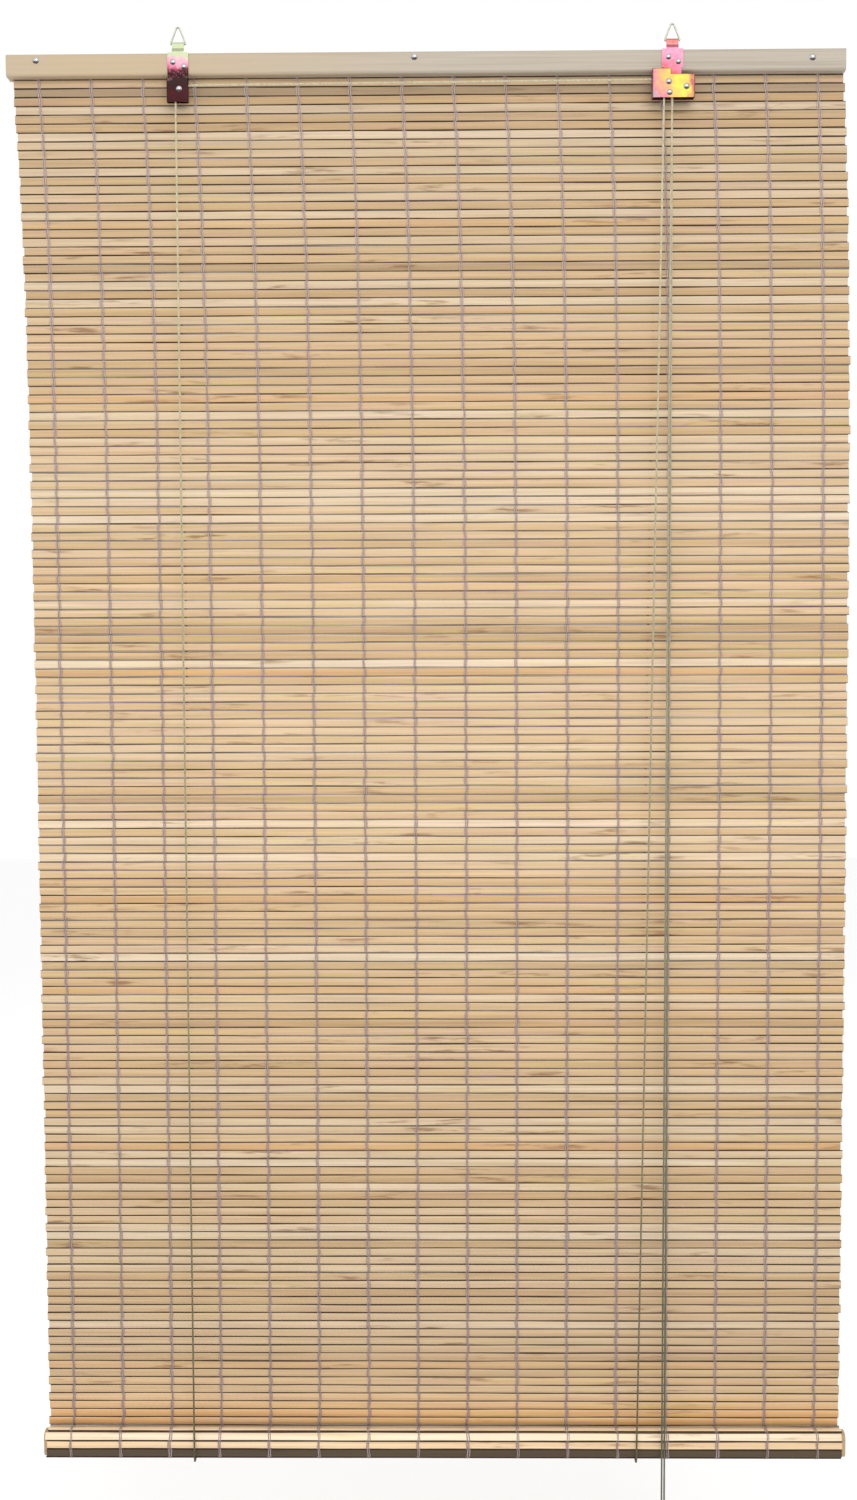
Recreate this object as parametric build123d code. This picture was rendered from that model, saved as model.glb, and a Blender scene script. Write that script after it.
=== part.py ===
from build123d import *
import math
import os

# Bamboo roll up blind, hanging. X runs along the headrail, +Y points at the wall, +Z is up.
# The origin is midway between the two hanging rings, where the hooks bear on their wires.

# Slat mat. The first slats are clamped in the headrail, the next ones always hang flat,
# the bands turn on each other when the blind rolls up, and the last go round the bottom batten.
slat_length = 800.0
slat_width = 7.55
slat_thickness = 1.5
slat_gap = 0.8
clamped_slats = 2
upper_slats = 12
band_sizes = [5] + [6] * 3 + [5] * 10 + [4] * 10 + [3] * 11 + [2]
roll_slats = 9
mat_offset = 2.0
mat_drift = 11.4
drift_depth = 180.0
end_unevenness = 0.8

# Headrail: two battens with the mat between them, and three round-headed nails.
rail_length = 804.0
rail_height = 21.0
front_batten_depth = 10.0
rear_batten_depth = 6.0
front_edge_radius = 3.0
rear_edge_radius = 1.0
nail_places = [(-373.0, -6.3), (-10.0, -5.5), (370.0, -8.8)]
nail_head_radius = 3.2
nail_head_height = 1.8
nail_shank_radius = 1.0
nail_bite = 3.5

# Bottom batten, which the end of the mat wraps.
batten_length = 806.0
batten_depth = 16.0
batten_height = 25.4
batten_corner = 6.0
wrap_clearance = 0.2

# Hanger plates, their curled tongues and the triangular wire rings.
hanger_x = 236.5
sheet = 0.8
plate_width = 20.0
plate_neck_width = 10.6
plate_height = 17.5
tongue_width = 11.6
tongue_rise = 0.8
tongue_lap = 2.0
plate_shoulder_slope = 1.0
joggle_top = 4.3
barrel_rise = 8.6
ring_wire_radius = 0.8
ring_clearance = 0.1
ring_side_gap = 0.2
ring_slope = 68.2
ring_base_corner = 1.0
ring_top_corner = 1.8
tack_places = [(-241.2, -9.0), (-230.9, -13.3), (232.6, -7.6), (242.1, -12.0)]
tack_head_radius = 2.8
tack_head_height = 1.4
tack_shank_radius = 1.0
tack_length = 10.0

# Pulley wheels, their rivets and the two housings.
cord_radius = 1.1
groove_clearance = 0.15
pitch_radius = 3.8
wheel_radius = 5.0
wheel_flange = 0.6
wheel_divider = 0.4
wheel_side_gap = 0.45
rivet_radius = 1.0
rivet_running_fit = 0.06
rivet_head_radius = 2.9
rivet_head_height = 1.5
rivet_tail_radius = 1.7
rivet_tail_height = 0.6
pulley_wheel_x = -234.9
pulley_wheel_drop = 14.8
pulley_cover_width = 20.6
pulley_cover_top = 4.2
pulley_cover_height = 22.6
lock_wheel_x = 232.0
lock_wheel_drop = 12.3
lock_left = 216.5
lock_step = 234.3
lock_right = 256.9
lock_left_rise = 0.2
lock_right_drop = 5.0
lock_bottom_drop = 27.0
lock_post_place = (0.8, -10.0)
lock_cam_place = (16.8, -4.5)
cam_hub_radius = 3.4
cam_reach = 11.5
cam_teeth = 5
cam_tooth_depth = 0.7
cam_tooth_angle = 8.0
cover_bend_radius = 1.0
cord_slot_margin = 0.8
cord_slot_depth = 4.8
opening_margin = 1.0
rim_margin = 0.1

# Cord fixings on the back of the headrail.
staple_wire_radius = 0.6
staple_half_width = 2.3
staple_bite = 4.0
staple_bend = 1.2
staple_rise = 6.447
knot_radius = 2.3

# Cords. Drops and rises are from the headrail's underside.
cord_end_rise = 13.447
cord_end_drop = 2.553
cord_back_drop = 39.553
lock_exit_drop = 28.053
cord_stand_off = 1.2
tail_stand_off = 0.1
cord_sag = 1.803
lift_left_x = -238.0
lift_left_back_x = -237.5
lift_left_front_x = -236.6
lift_right_x = 224.0
lift_right_back_top_x = 223.0
lift_right_back_x = 208.0
lift_right_front_x = 207.0
pull_guide_drop = 91.553
pull_end_drop = 1403.053
pull_left_guide = (236.8, -6.8)
pull_left_end = (234.8, -14.6)
pull_right_guide = (234.2, -8.6)
pull_right_end = (232.2, -14.6)
tail_bend = 20.0
back_bend = 40.0
roll_bend = 10.0
wheel_bend_play = 0.05

# Where a cylinder or a ball stands: on its low end, or hung from its high one.
on_low_end = (Align.CENTER, Align.CENTER, Align.MIN)
on_high_end = (Align.CENTER, Align.CENTER, Align.MAX)

# Places that follow from the sizes above.
pitch = slat_width + slat_gap
half_thickness = slat_thickness / 2
ring_corner_reach = ring_base_corner / math.tan(math.radians(ring_slope / 2))
ring_half_base = tongue_width / 2 + ring_side_gap + ring_corner_reach
ring_peak = ring_half_base * math.tan(math.radians(ring_slope))
ring_top_run = ring_top_corner / math.cos(math.radians(ring_slope))
ring_bearing = ring_peak - ring_top_run + ring_top_corner - ring_wire_radius
barrel_z = -ring_bearing
rail_top = barrel_z - barrel_rise
rail_bottom = rail_top - rail_height
barrel_bore = ring_wire_radius + ring_clearance
tongue_y = -(barrel_bore + sheet / 2)
plate_back = -2.95
plate_front = plate_back - sheet
mat_y = plate_back + front_batten_depth + half_thickness
rear_face = mat_y + half_thickness + rear_batten_depth
first_slat_top = rail_bottom - slat_gap / 2
flat_slats = upper_slats + sum(band_sizes)
flat_end = first_slat_top - flat_slats * pitch
groove_width = 2 * (cord_radius + groove_clearance)
groove_radius = pitch_radius - cord_radius - groove_clearance
wheel_back = plate_front - wheel_side_gap
pulley_wheel_width = groove_width + 2 * wheel_flange
lock_wheel_width = 2 * groove_width + 2 * wheel_flange + wheel_divider
pulley_wheel_z = rail_bottom - pulley_wheel_drop
lock_wheel_z = rail_bottom - lock_wheel_drop
pulley_cover_front = wheel_back - pulley_wheel_width - wheel_side_gap - sheet
lock_cover_front = wheel_back - lock_wheel_width - wheel_side_gap - sheet
lock_bottom = rail_bottom - lock_bottom_drop
lock_post_x = lock_wheel_x + lock_post_place[0]
lock_post_z = lock_wheel_z + lock_post_place[1]
lock_cam_x = lock_wheel_x + lock_cam_place[0]
lock_cam_z = lock_wheel_z + lock_cam_place[1]
staple_z = rail_bottom + staple_rise

# Cord routes, as points that the cord's middle passes. Each run between them is pulled straight.
tail_y = rear_face + cord_radius + tail_stand_off
behind_y = mat_y + half_thickness + cord_radius + cord_stand_off
roll_front = mat_y - half_thickness - batten_depth - 2 * wrap_clearance - slat_thickness
front_y = roll_front - cord_radius - cord_stand_off
roll_low = flat_end - half_thickness - batten_height - 2 * wrap_clearance - slat_thickness
cord_low = roll_low - cord_radius - cord_sag
pulley_groove_y = wheel_back - pulley_wheel_width / 2
lock_back_groove_y = wheel_back - wheel_flange - groove_width / 2
lock_front_groove_y = lock_back_groove_y - groove_width - wheel_divider
pulley_cord_x = pulley_wheel_x - pitch_radius
lock_cord_x = lock_wheel_x + pitch_radius
pulley_cord_z = pulley_wheel_z + pitch_radius
lock_cord_z = lock_wheel_z + pitch_radius
cord_end_z = rail_bottom + cord_end_rise
cord_edge_z = rail_bottom - cord_end_drop
cord_back_z = rail_bottom - cord_back_drop
lock_exit_z = rail_bottom - lock_exit_drop
pull_guide_z = rail_bottom - pull_guide_drop
pull_end_z = rail_bottom - pull_end_drop
lift_left_route = [
    (lift_left_x, tail_y, cord_end_z),
    (lift_left_x, tail_y, cord_edge_z),
    (lift_left_x, behind_y, cord_back_z),
    (lift_left_back_x, behind_y, cord_low),
    (lift_left_front_x, front_y, cord_low),
    (pulley_cord_x, pulley_groove_y, pulley_cord_z),
    (lock_cord_x, lock_back_groove_y, lock_cord_z),
    (lock_cord_x, lock_back_groove_y, lock_exit_z),
]
lift_right_route = [
    (lift_right_x, tail_y, cord_end_z),
    (lift_right_x, tail_y, cord_edge_z),
    (lift_right_back_top_x, behind_y, cord_back_z),
    (lift_right_back_x, behind_y, cord_low),
    (lift_right_front_x, front_y, cord_low),
    (lock_wheel_x - pitch_radius, lock_front_groove_y, lock_cord_z),
    (lock_cord_x, lock_front_groove_y, lock_cord_z),
    (lock_cord_x, lock_front_groove_y, lock_exit_z),
]
pull_left_route = [lift_left_route[-1], (*pull_left_guide, pull_guide_z), (*pull_left_end, pull_end_z)]
pull_right_route = [lift_right_route[-1], (*pull_right_guide, pull_guide_z), (*pull_right_end, pull_end_z)]
wheel_bend = pitch_radius - wheel_bend_play
lift_bends = [tail_bend, back_bend, roll_bend, roll_bend, wheel_bend, wheel_bend]


def save(shape, name):
    export_step(shape, f"parts/{name}.step")


def group(solids):
    return Compound(children=list(solids))


def along_y(x, y, z):
    """A place whose own +Z points out of the front, along -Y."""
    return Pos(x, y, z) * Rot(90, 0, 0)


def domed_pin(head_radius, head_height, shank_radius, shank_length):
    """A pin with a domed head on its +Z end. Its head's flat side is at Z 0."""
    ball = (head_radius**2 + head_height**2) / (2 * head_height)
    head = Cylinder(head_radius, head_height, align=on_low_end)
    head &= Pos(0, 0, head_height - ball) * Sphere(ball)
    return head + Cylinder(shank_radius, shank_length, align=on_high_end)


# The mat


def slat_x(z, number):
    """The middle of a slat: the mat creeps sideways below the rail and its ends are uneven."""
    depth = max(rail_bottom - z, 0.0)
    creep = mat_drift * (1 - math.exp(-depth / drift_depth))
    return mat_offset + creep + end_unevenness * math.sin(2.4 * number)


def slat():
    return Box(slat_length, slat_thickness, slat_width)


def flat_slat(number):
    """Slat 0 is the first below the rail, and the clamped ones have numbers below 0."""
    z = first_slat_top - (number + 0.5) * pitch
    return Pos(slat_x(z, number), mat_y, z) * slat()


def wrap_place(distance):
    """(y, z, turn in degrees) at a distance along the mat's middle, round the bottom batten."""
    bend = batten_corner + wrap_clearance + half_thickness
    down = wrap_clearance + half_thickness
    top = flat_end - (half_thickness + wrap_clearance)
    back_end = top - batten_height + batten_corner
    quarter = bend * math.pi / 2
    corners = [
        (mat_y - down - batten_corner, back_end),
        (mat_y - down - batten_depth + batten_corner, back_end),
        (mat_y - down - batten_depth + batten_corner, top - batten_corner),
    ]
    straights = [
        flat_end - back_end,
        batten_depth - 2 * batten_corner,
        batten_height - 2 * batten_corner,
        batten_depth - 2 * batten_corner,
    ]
    y, z, turn = mat_y, flat_end, 0.0
    for number, straight in enumerate(straights):
        heading = (-math.sin(math.radians(turn)), -math.cos(math.radians(turn)))
        if distance <= straight or number == len(corners):
            return y + heading[0] * distance, z + heading[1] * distance, turn
        distance -= straight
        centre_y, centre_z = corners[number]
        swept = min(distance / quarter, 1.0) * 90
        angle = math.radians(turn + swept)
        y = centre_y + bend * math.cos(angle)
        z = centre_z - bend * math.sin(angle)
        if distance <= quarter:
            return y, z, turn + swept
        distance -= quarter
        turn += 90


def wrapped_slat(number):
    y, z, turn = wrap_place((number + 0.5) * pitch)
    x = slat_x(flat_end, flat_slats + number)
    return Pos(x, y, z) * Rot(-turn, 0, 0) * slat()


def rail_nail(place, extra=0.0):
    x, down = place
    length = front_batten_depth + slat_thickness + nail_bite
    pin = domed_pin(nail_head_radius, nail_head_height, nail_shank_radius + extra, length)
    return along_y(x, plate_back, rail_top + down) * pin


def make_mat():
    nails = group(rail_nail(place) for place in nail_places)
    clamped = [flat_slat(number) - nails for number in range(-clamped_slats, 0)]
    save(group(clamped + [flat_slat(number) for number in range(upper_slats)]), "upper_slats")
    start = upper_slats
    for index, size in enumerate(band_sizes, 1):
        save(group(flat_slat(start + step) for step in range(size)), f"slat_band_{index:02d}")
        start += size
    save(group(wrapped_slat(number) for number in range(roll_slats)), "roll_slats")


def make_bottom_batten():
    back = mat_y - half_thickness - wrap_clearance
    top = flat_end - half_thickness - wrap_clearance
    x = slat_x(flat_end, flat_slats)
    batten = Box(batten_length, batten_depth, batten_height)
    batten = fillet(batten.edges().filter_by(Axis.X), batten_corner)
    save(Pos(x, back - batten_depth / 2, top - batten_height / 2) * batten, "bottom_batten")


# The headrail


def tack(place):
    x, down = place
    pin = domed_pin(tack_head_radius, tack_head_height, tack_shank_radius, tack_length)
    return along_y(x, plate_front, rail_top + down) * pin


def make_headrail():
    nails = [rail_nail(place) for place in nail_places]
    tacks = [tack(place) for place in tack_places]
    staples = [staple(x) for x in (lift_left_route[0][0], lift_right_route[0][0])]
    middle = (rail_top + rail_bottom) / 2
    front = Box(rail_length, front_batten_depth, rail_height)
    front = fillet(front.edges().filter_by(Axis.X).group_by(Axis.Y)[0], front_edge_radius)
    front = Pos(0, plate_back + front_batten_depth / 2, middle) * front
    rear = Box(rail_length, rear_batten_depth, rail_height)
    rear = fillet(rear.edges().filter_by(Axis.X).group_by(Axis.Y)[-1], rear_edge_radius)
    rear = Pos(0, rear_face - rear_batten_depth / 2, middle) * rear
    save(front - group(nails + tacks), "front_batten")
    save(rear - group(nails + staples), "rear_batten")
    save(group(nails), "rail_nails")
    save(group(tacks), "hanger_tacks")
    save(group(staples), "cord_staples")


def staple(x):
    """A wire staple that holds the lift cord's end to the back of the headrail."""
    crown = rear_face + 2 * cord_radius + 2 * groove_clearance + staple_wire_radius
    leg = rear_face - staple_bite
    left, right = x - staple_half_width, x + staple_half_width
    corners = [
        (left, leg, staple_z),
        (left, crown, staple_z),
        (right, crown, staple_z),
        (right, leg, staple_z),
    ]
    path = FilletPolyline(*corners, radius=staple_bend)
    return sweep(Plane(path @ 0, z_dir=path % 0) * Circle(staple_wire_radius), path=path)


# Hangers, rings and housings


def tongue(x):
    """The strip above the plate, which steps back over the rail and curls round the ring's base."""
    plate_y = (plate_front + plate_back) / 2
    corners = [
        (plate_y, rail_top - tongue_lap),
        (plate_y, rail_top + tongue_rise),
        (tongue_y, rail_top + joggle_top),
        (tongue_y, barrel_z),
    ]
    side = Plane.YZ * trace(Polyline(*corners), line_width=sheet)
    strip = extrude(side, amount=tongue_width / 2, both=True)
    barrel = Rot(0, 90, 0) * (
        Cylinder(barrel_bore + sheet, tongue_width) - Cylinder(barrel_bore, 2 * tongue_width)
    )
    strip -= Pos(0, 0, barrel_z) * Rot(0, 90, 0) * Cylinder(barrel_bore, 2 * tongue_width)
    return Pos(x, 0, 0) * (strip + Pos(0, 0, barrel_z) * barrel)


def sheet_from(outline, front, back):
    """A flat sheet between two Y planes, with its outline given as (x, z) points."""
    face = make_face(Polyline(*[(x, 0, z) for x, z in outline], close=True))
    return Pos(0, back, 0) * extrude(face, amount=back - front, dir=(0, -1, 0))


def box_between(x0, x1, y0, y1, z0, z1):
    place = Pos((x0 + x1) / 2, (y0 + y1) / 2, (z0 + z1) / 2)
    return place * Box(x1 - x0, y1 - y0, z1 - z0)


def pulley_plate():
    bottom = rail_bottom - pulley_cover_top - pulley_cover_height
    half = plate_width / 2
    plate = box_between(-hanger_x - half, -hanger_x + half, plate_front, plate_back, bottom, rail_top)
    return plate + tongue(-hanger_x) - group(tack(place) for place in tack_places) - rivets()


def lock_plate():
    half = plate_width / 2
    neck = lock_step + plate_neck_width
    shoulder = rail_top - plate_height
    outline = [
        (hanger_x - half, rail_top),
        (hanger_x - half, shoulder),
        (lock_step, shoulder - plate_shoulder_slope),
        (lock_step, rail_bottom + lock_left_rise),
        (lock_left, rail_bottom + lock_left_rise),
        (lock_left, lock_bottom),
        (lock_right, lock_bottom),
        (lock_right, rail_bottom - lock_right_drop),
        (neck, rail_bottom - lock_right_drop),
        (neck, shoulder),
        (hanger_x + half, shoulder),
        (hanger_x + half, rail_top),
    ]
    plate = sheet_from(outline, plate_front, plate_back) + tongue(hanger_x)
    return plate - group(tack(place) for place in tack_places) - rivets()


def rivet(x, z, cover_front):
    """A rivet through cover and plate, with its tail spread behind the plate."""
    length = plate_back - cover_front
    tail = Pos(0, 0, -length) * Cylinder(rivet_tail_radius, rivet_tail_height, align=on_high_end)
    pin = domed_pin(rivet_head_radius, rivet_head_height, rivet_radius, length)
    return along_y(x, cover_front, z) * (pin + tail)


def rivets():
    return group(
        [
            rivet(pulley_wheel_x, pulley_wheel_z, pulley_cover_front),
            rivet(lock_wheel_x, lock_wheel_z, lock_cover_front),
            rivet(lock_post_x, lock_post_z, lock_cover_front),
            rivet(lock_cam_x, lock_cam_z, lock_cover_front),
        ]
    )


def cord_slot(x, y, z):
    """The hole that the cross cord takes through a housing's side."""
    side = 2 * (cord_radius + cord_slot_margin)
    return Pos(x, y, z) * Box(cord_slot_depth, side, side)


def pulley_cover():
    """A bent sheet with a front, two sides and a top. The cord leaves through its right side."""
    left, right = -hanger_x - pulley_cover_width / 2, -hanger_x + pulley_cover_width / 2
    top = rail_bottom - pulley_cover_top
    bottom = top - pulley_cover_height
    shell = box_between(left, right, pulley_cover_front, plate_front, bottom, top)
    rim = shell.edges().group_by(Axis.Y)[0].filter_by(lambda edge: edge.center().Z > bottom + rim_margin)
    shell = fillet(rim, cover_bend_radius)
    inside = box_between(
        left + sheet,
        right - sheet,
        pulley_cover_front + sheet,
        plate_front + opening_margin,
        bottom - opening_margin,
        top - sheet,
    )
    slot = cord_slot(right, pulley_groove_y, pulley_cord_z)
    return shell - inside - slot - rivets()


def lock_outline(inset, bottom):
    left_top, right_top = rail_bottom + lock_left_rise - inset, rail_bottom - lock_right_drop - inset
    return [
        (lock_left + inset, bottom),
        (lock_left + inset, left_top),
        (lock_step - inset, left_top),
        (lock_step - inset, right_top),
        (lock_right - inset, right_top),
        (lock_right - inset, bottom),
    ]


def lock_cover():
    """A stepped bent sheet, open below for the cords. The cross cord comes in on its left."""
    shell = sheet_from(lock_outline(0, lock_bottom), lock_cover_front, plate_front)
    front_edges = shell.edges().group_by(Axis.Y)[0]
    rim = front_edges.filter_by(lambda edge: edge.center().Z > lock_bottom + rim_margin)
    shell = fillet(rim, cover_bend_radius)
    opening = lock_outline(sheet, lock_bottom - opening_margin)
    inside = sheet_from(opening, lock_cover_front + sheet, plate_front + opening_margin)
    slot = cord_slot(lock_left, lock_back_groove_y, lock_cord_z)
    return shell - inside - slot - rivets()


def wheel(grooves, width):
    """A pulley wheel that turns about its own Z, with its back face at Z 0."""
    body = Cylinder(wheel_radius, width, align=on_low_end)
    for number in range(grooves):
        start = wheel_flange + number * (groove_width + wheel_divider)
        ring = Cylinder(2 * wheel_radius, groove_width, align=on_low_end)
        ring -= Cylinder(groove_radius, width, align=on_low_end)
        body -= Pos(0, 0, start) * ring
    return body - Cylinder(rivet_radius + rivet_running_fit, 3 * width)


def lock_cam():
    """A toothed lever on its own rivet, whose nose squeezes the cords against the post."""
    width = lock_wheel_width - 2 * wheel_flange
    start = 180 - cam_tooth_angle * cam_teeth / 2
    nose = [(0, cam_hub_radius), (0, -cam_hub_radius)]
    for tooth in range(cam_teeth + 1):
        angle = math.radians(start + cam_tooth_angle * (cam_teeth - tooth))
        for reach in (cam_reach - cam_tooth_depth, cam_reach):
            nose.append((reach * math.cos(angle), reach * math.sin(angle)))
    lever = extrude(make_face(Polyline(*nose, close=True)), amount=width)
    lever += Cylinder(cam_hub_radius, width, align=on_low_end)
    return lever - Cylinder(rivet_radius + rivet_running_fit, 3 * width)


def ring(x):
    """A triangular hanging ring of round wire, whose base turns in the tongue's curl."""
    corners = [
        (x - ring_half_base, 0, barrel_z),
        (x + ring_half_base, 0, barrel_z),
        (x, 0, barrel_z + ring_peak),
    ]
    bends = [ring_base_corner, ring_base_corner, ring_top_corner]
    path = FilletPolyline(*corners, radius=bends, close=True)
    return sweep(Plane(path @ 0, z_dir=path % 0) * Circle(ring_wire_radius), path=path)


def make_hardware():
    save(pulley_plate(), "pulley_plate")
    save(lock_plate(), "lock_plate")
    save(pulley_cover(), "pulley_cover")
    save(lock_cover(), "lock_cover")
    save(rivets(), "housing_rivets")
    save(along_y(pulley_wheel_x, wheel_back, pulley_wheel_z) * wheel(1, pulley_wheel_width), "pulley_wheel")
    save(along_y(lock_wheel_x, wheel_back, lock_wheel_z) * wheel(2, lock_wheel_width), "lock_wheel")
    save(along_y(lock_cam_x, wheel_back - wheel_flange, lock_cam_z) * lock_cam(), "lock_cam")
    save(ring(-hanger_x), "hanging_ring_left")
    save(ring(hanger_x), "hanging_ring_right")


# Cords


def cord(route, bends):
    path = FilletPolyline(*route, radius=bends)
    return sweep(Plane(path @ 0, z_dir=path % 0) * Circle(cord_radius), path=path), path.length


def slack_bend(route):
    """0.45 of the shorter run over the tangent of half the turn, for each inner point."""
    radii = []
    for before, at, after in zip(route, route[1:], route[2:]):
        first, second = Vector(*at) - Vector(*before), Vector(*after) - Vector(*at)
        half_turn = math.radians(first.get_angle(second)) / 2
        radii.append(0.45 * min(first.length, second.length) / math.tan(half_turn))
    return radii


def knot(route):
    x, _, z = route[0]
    return Pos(x, rear_face + knot_radius, z + knot_radius / 2) * Sphere(knot_radius)


def make_cords():
    cords = {
        "lift_cord_left": (lift_left_route, lift_bends),
        "lift_cord_right": (lift_right_route, lift_bends),
        "pull_cord_left": (pull_left_route, slack_bend(pull_left_route)),
        "pull_cord_right": (pull_right_route, slack_bend(pull_right_route)),
    }
    for name, (route, bends) in cords.items():
        tube, length = cord(route, bends)
        share = tube.volume / (math.pi * cord_radius**2 * length)
        print(name, "radii", [round(bend, 1) for bend in bends])
        print(name, "length", round(length, 1), "share", round(share, 5))
        save(tube, name)
    save(group(knot(route) for route in (lift_left_route, lift_right_route)), "cord_knots")


os.makedirs("parts", exist_ok=True)
make_mat()
make_bottom_batten()
make_headrail()
make_hardware()
make_cords()
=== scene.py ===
import math
import random

import bpy
from mathutils import Matrix, Vector


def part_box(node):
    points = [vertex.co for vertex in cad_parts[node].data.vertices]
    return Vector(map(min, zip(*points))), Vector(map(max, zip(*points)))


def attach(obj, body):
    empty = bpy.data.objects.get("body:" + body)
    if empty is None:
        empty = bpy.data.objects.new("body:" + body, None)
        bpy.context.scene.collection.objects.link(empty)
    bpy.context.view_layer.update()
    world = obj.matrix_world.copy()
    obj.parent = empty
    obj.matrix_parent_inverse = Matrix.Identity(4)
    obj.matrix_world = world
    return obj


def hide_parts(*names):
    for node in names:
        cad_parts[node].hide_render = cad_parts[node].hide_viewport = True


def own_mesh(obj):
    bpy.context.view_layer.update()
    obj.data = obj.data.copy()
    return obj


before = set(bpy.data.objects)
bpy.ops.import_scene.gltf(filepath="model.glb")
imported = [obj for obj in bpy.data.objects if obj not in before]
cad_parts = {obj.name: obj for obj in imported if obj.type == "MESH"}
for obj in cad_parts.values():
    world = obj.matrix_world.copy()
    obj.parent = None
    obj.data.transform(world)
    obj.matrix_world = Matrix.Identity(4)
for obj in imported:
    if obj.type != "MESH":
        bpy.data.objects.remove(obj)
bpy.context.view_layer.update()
scene = bpy.context.scene
mm = 0.001

room = {
    "floorHeight": -1.72,
    "floorSize": 14.0,
    "floorColour": (0.96, 0.96, 0.96),
    "worldColour": (1.0, 1.0, 1.0),
    "worldStrength": 1.0,
}
cameraSettings = {
    "lens": 39.6,
    "place": (0.0200, -1.6200, -0.5884),
    "yaw": -0.667,
    "pitch": -3.715,
    "roll": -0.209,
}
lights = {
    "key": {"place": (0.35, -2.3, 0.75), "aim": (0.0, 0.0, -0.62), "size": 1.6, "power": 25.0},
    "fill": {"place": (-1.6, -1.7, -0.4), "aim": (0.0, 0.0, -0.7), "size": 1.4, "power": 4.0},
    "back": {"place": (0.4, 2.6, 0.9), "aim": (0.0, 0.0, -0.7), "size": 1.8, "power": 10.0},
}


def addNode(tree, kind, links=None, **settings):
    # A node with its settings. Of its inputs, a socket is linked and anything else is a value.
    node = tree.nodes.new(kind)
    for key, value in settings.items():
        setattr(node, key, value)
    for key, value in (links or {}).items():
        socket = node.inputs[key]
        if isinstance(value, bpy.types.NodeSocket):
            tree.links.new(value, socket)
        else:
            socket.default_value = value
    return node


def srgb(red, green, blue):
    # Display colours of 0 to 255, as the linear ones that shaders take.
    channels = []
    for value in (red, green, blue):
        part = value / 255
        channels.append(part / 12.92 if part <= 0.04045 else ((part + 0.055) / 1.055) ** 2.4)
    return (*channels, 1.0)


def makeRoom():
    half = room["floorSize"] / 2
    mesh = bpy.data.meshes.new("floor")
    low = room["floorHeight"]
    corners = [(-half, -half, low), (half, -half, low), (half, half, low), (-half, half, low)]
    mesh.from_pydata(corners, [], [(0, 1, 2, 3)])
    floor = bpy.data.objects.new("floor", mesh)
    scene.collection.objects.link(floor)
    material = bpy.data.materials.new("floorPaint")
    material.use_nodes = True
    shader = material.node_tree.nodes["Principled BSDF"]
    shader.inputs["Base Color"].default_value = (*room["floorColour"], 1.0)
    shader.inputs["Roughness"].default_value = 0.85
    mesh.materials.append(material)
    world = bpy.data.worlds.new("softRoom")
    scene.world = world
    world.use_nodes = True
    backgroundNode = world.node_tree.nodes["Background"]
    backgroundNode.inputs["Color"].default_value = (*room["worldColour"], 1.0)
    backgroundNode.inputs["Strength"].default_value = room["worldStrength"]
    for name, light in lights.items():
        lamp = bpy.data.lights.new(name, "AREA")
        lamp.size = light["size"]
        lamp.energy = light["power"]
        lampObject = bpy.data.objects.new(name, lamp)
        direction = Vector(light["aim"]) - Vector(light["place"])
        lampObject.location = light["place"]
        lampObject.rotation_euler = direction.to_track_quat("-Z", "Y").to_euler()
        scene.collection.objects.link(lampObject)
    scene.view_settings.view_transform = "Standard"


def makeCamera():
    yaw, pitch, roll = (math.radians(cameraSettings[key]) for key in ("yaw", "pitch", "roll"))
    forward = Vector((math.sin(yaw) * math.cos(pitch), math.cos(yaw) * math.cos(pitch), math.sin(pitch)))
    level = Vector((math.cos(yaw), -math.sin(yaw), 0))
    upright = level.cross(forward)
    right = math.cos(roll) * level + math.sin(roll) * upright
    above = math.cos(roll) * upright - math.sin(roll) * level
    data = bpy.data.cameras.new("camera")
    data.lens = cameraSettings["lens"]
    data.sensor_width = 36
    data.clip_start = 0.01
    camera = bpy.data.objects.new("camera", data)
    turn = Matrix((right, above, -forward)).transposed()
    camera.matrix_world = Matrix.Translation(cameraSettings["place"]) @ turn.to_4x4()
    scene.collection.objects.link(camera)
    scene.camera = camera


makeRoom()
makeCamera()
print("room, lights and camera are ready")

def newMaterial(name, **values):
    material = bpy.data.materials.new(name)
    material.use_nodes = True
    tree = material.node_tree
    shader = tree.nodes["Principled BSDF"]
    for key, value in values.items():
        shader.inputs[key].default_value = value
    return material, tree, shader


def objectPlace(tree, scale=(1, 1, 1), centre=(0, 0, 0)):
    coordinates = addNode(tree, "ShaderNodeTexCoord")
    offset = [-c * s for c, s in zip(centre, scale)]
    links = {"Vector": coordinates.outputs["Object"], "Scale": scale, "Location": offset}
    return addNode(tree, "ShaderNodeMapping", links).outputs["Vector"]


def noise(tree, vector, scale=1.0, detail=2.0, rough=0.5):
    links = {"Vector": vector, "Scale": scale, "Detail": detail, "Roughness": rough}
    return addNode(tree, "ShaderNodeTexNoise", links).outputs["Fac"]


def colourRamp(tree, factor, stops):
    node = addNode(tree, "ShaderNodeValToRGB", {"Fac": factor})
    elements = node.color_ramp.elements
    while len(elements) < len(stops):
        elements.new(0.5)
    for element, (place, colour) in zip(elements, stops):
        element.position = place
        element.color = colour
    return node.outputs["Color"]


def mathNode(tree, operation, first, second=0.0, clamp=False):
    links = {0: first, 1: second}
    return addNode(tree, "ShaderNodeMath", links, operation=operation, use_clamp=clamp).outputs[0]


def greyColour(tree, value):
    return addNode(tree, "ShaderNodeCombineColor", {0: value, 1: value, 2: value}).outputs[0]


def multiplyColour(tree, colour, value):
    return blendColour(tree, 1.0, colour, greyColour(tree, value), "MULTIPLY")


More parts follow.
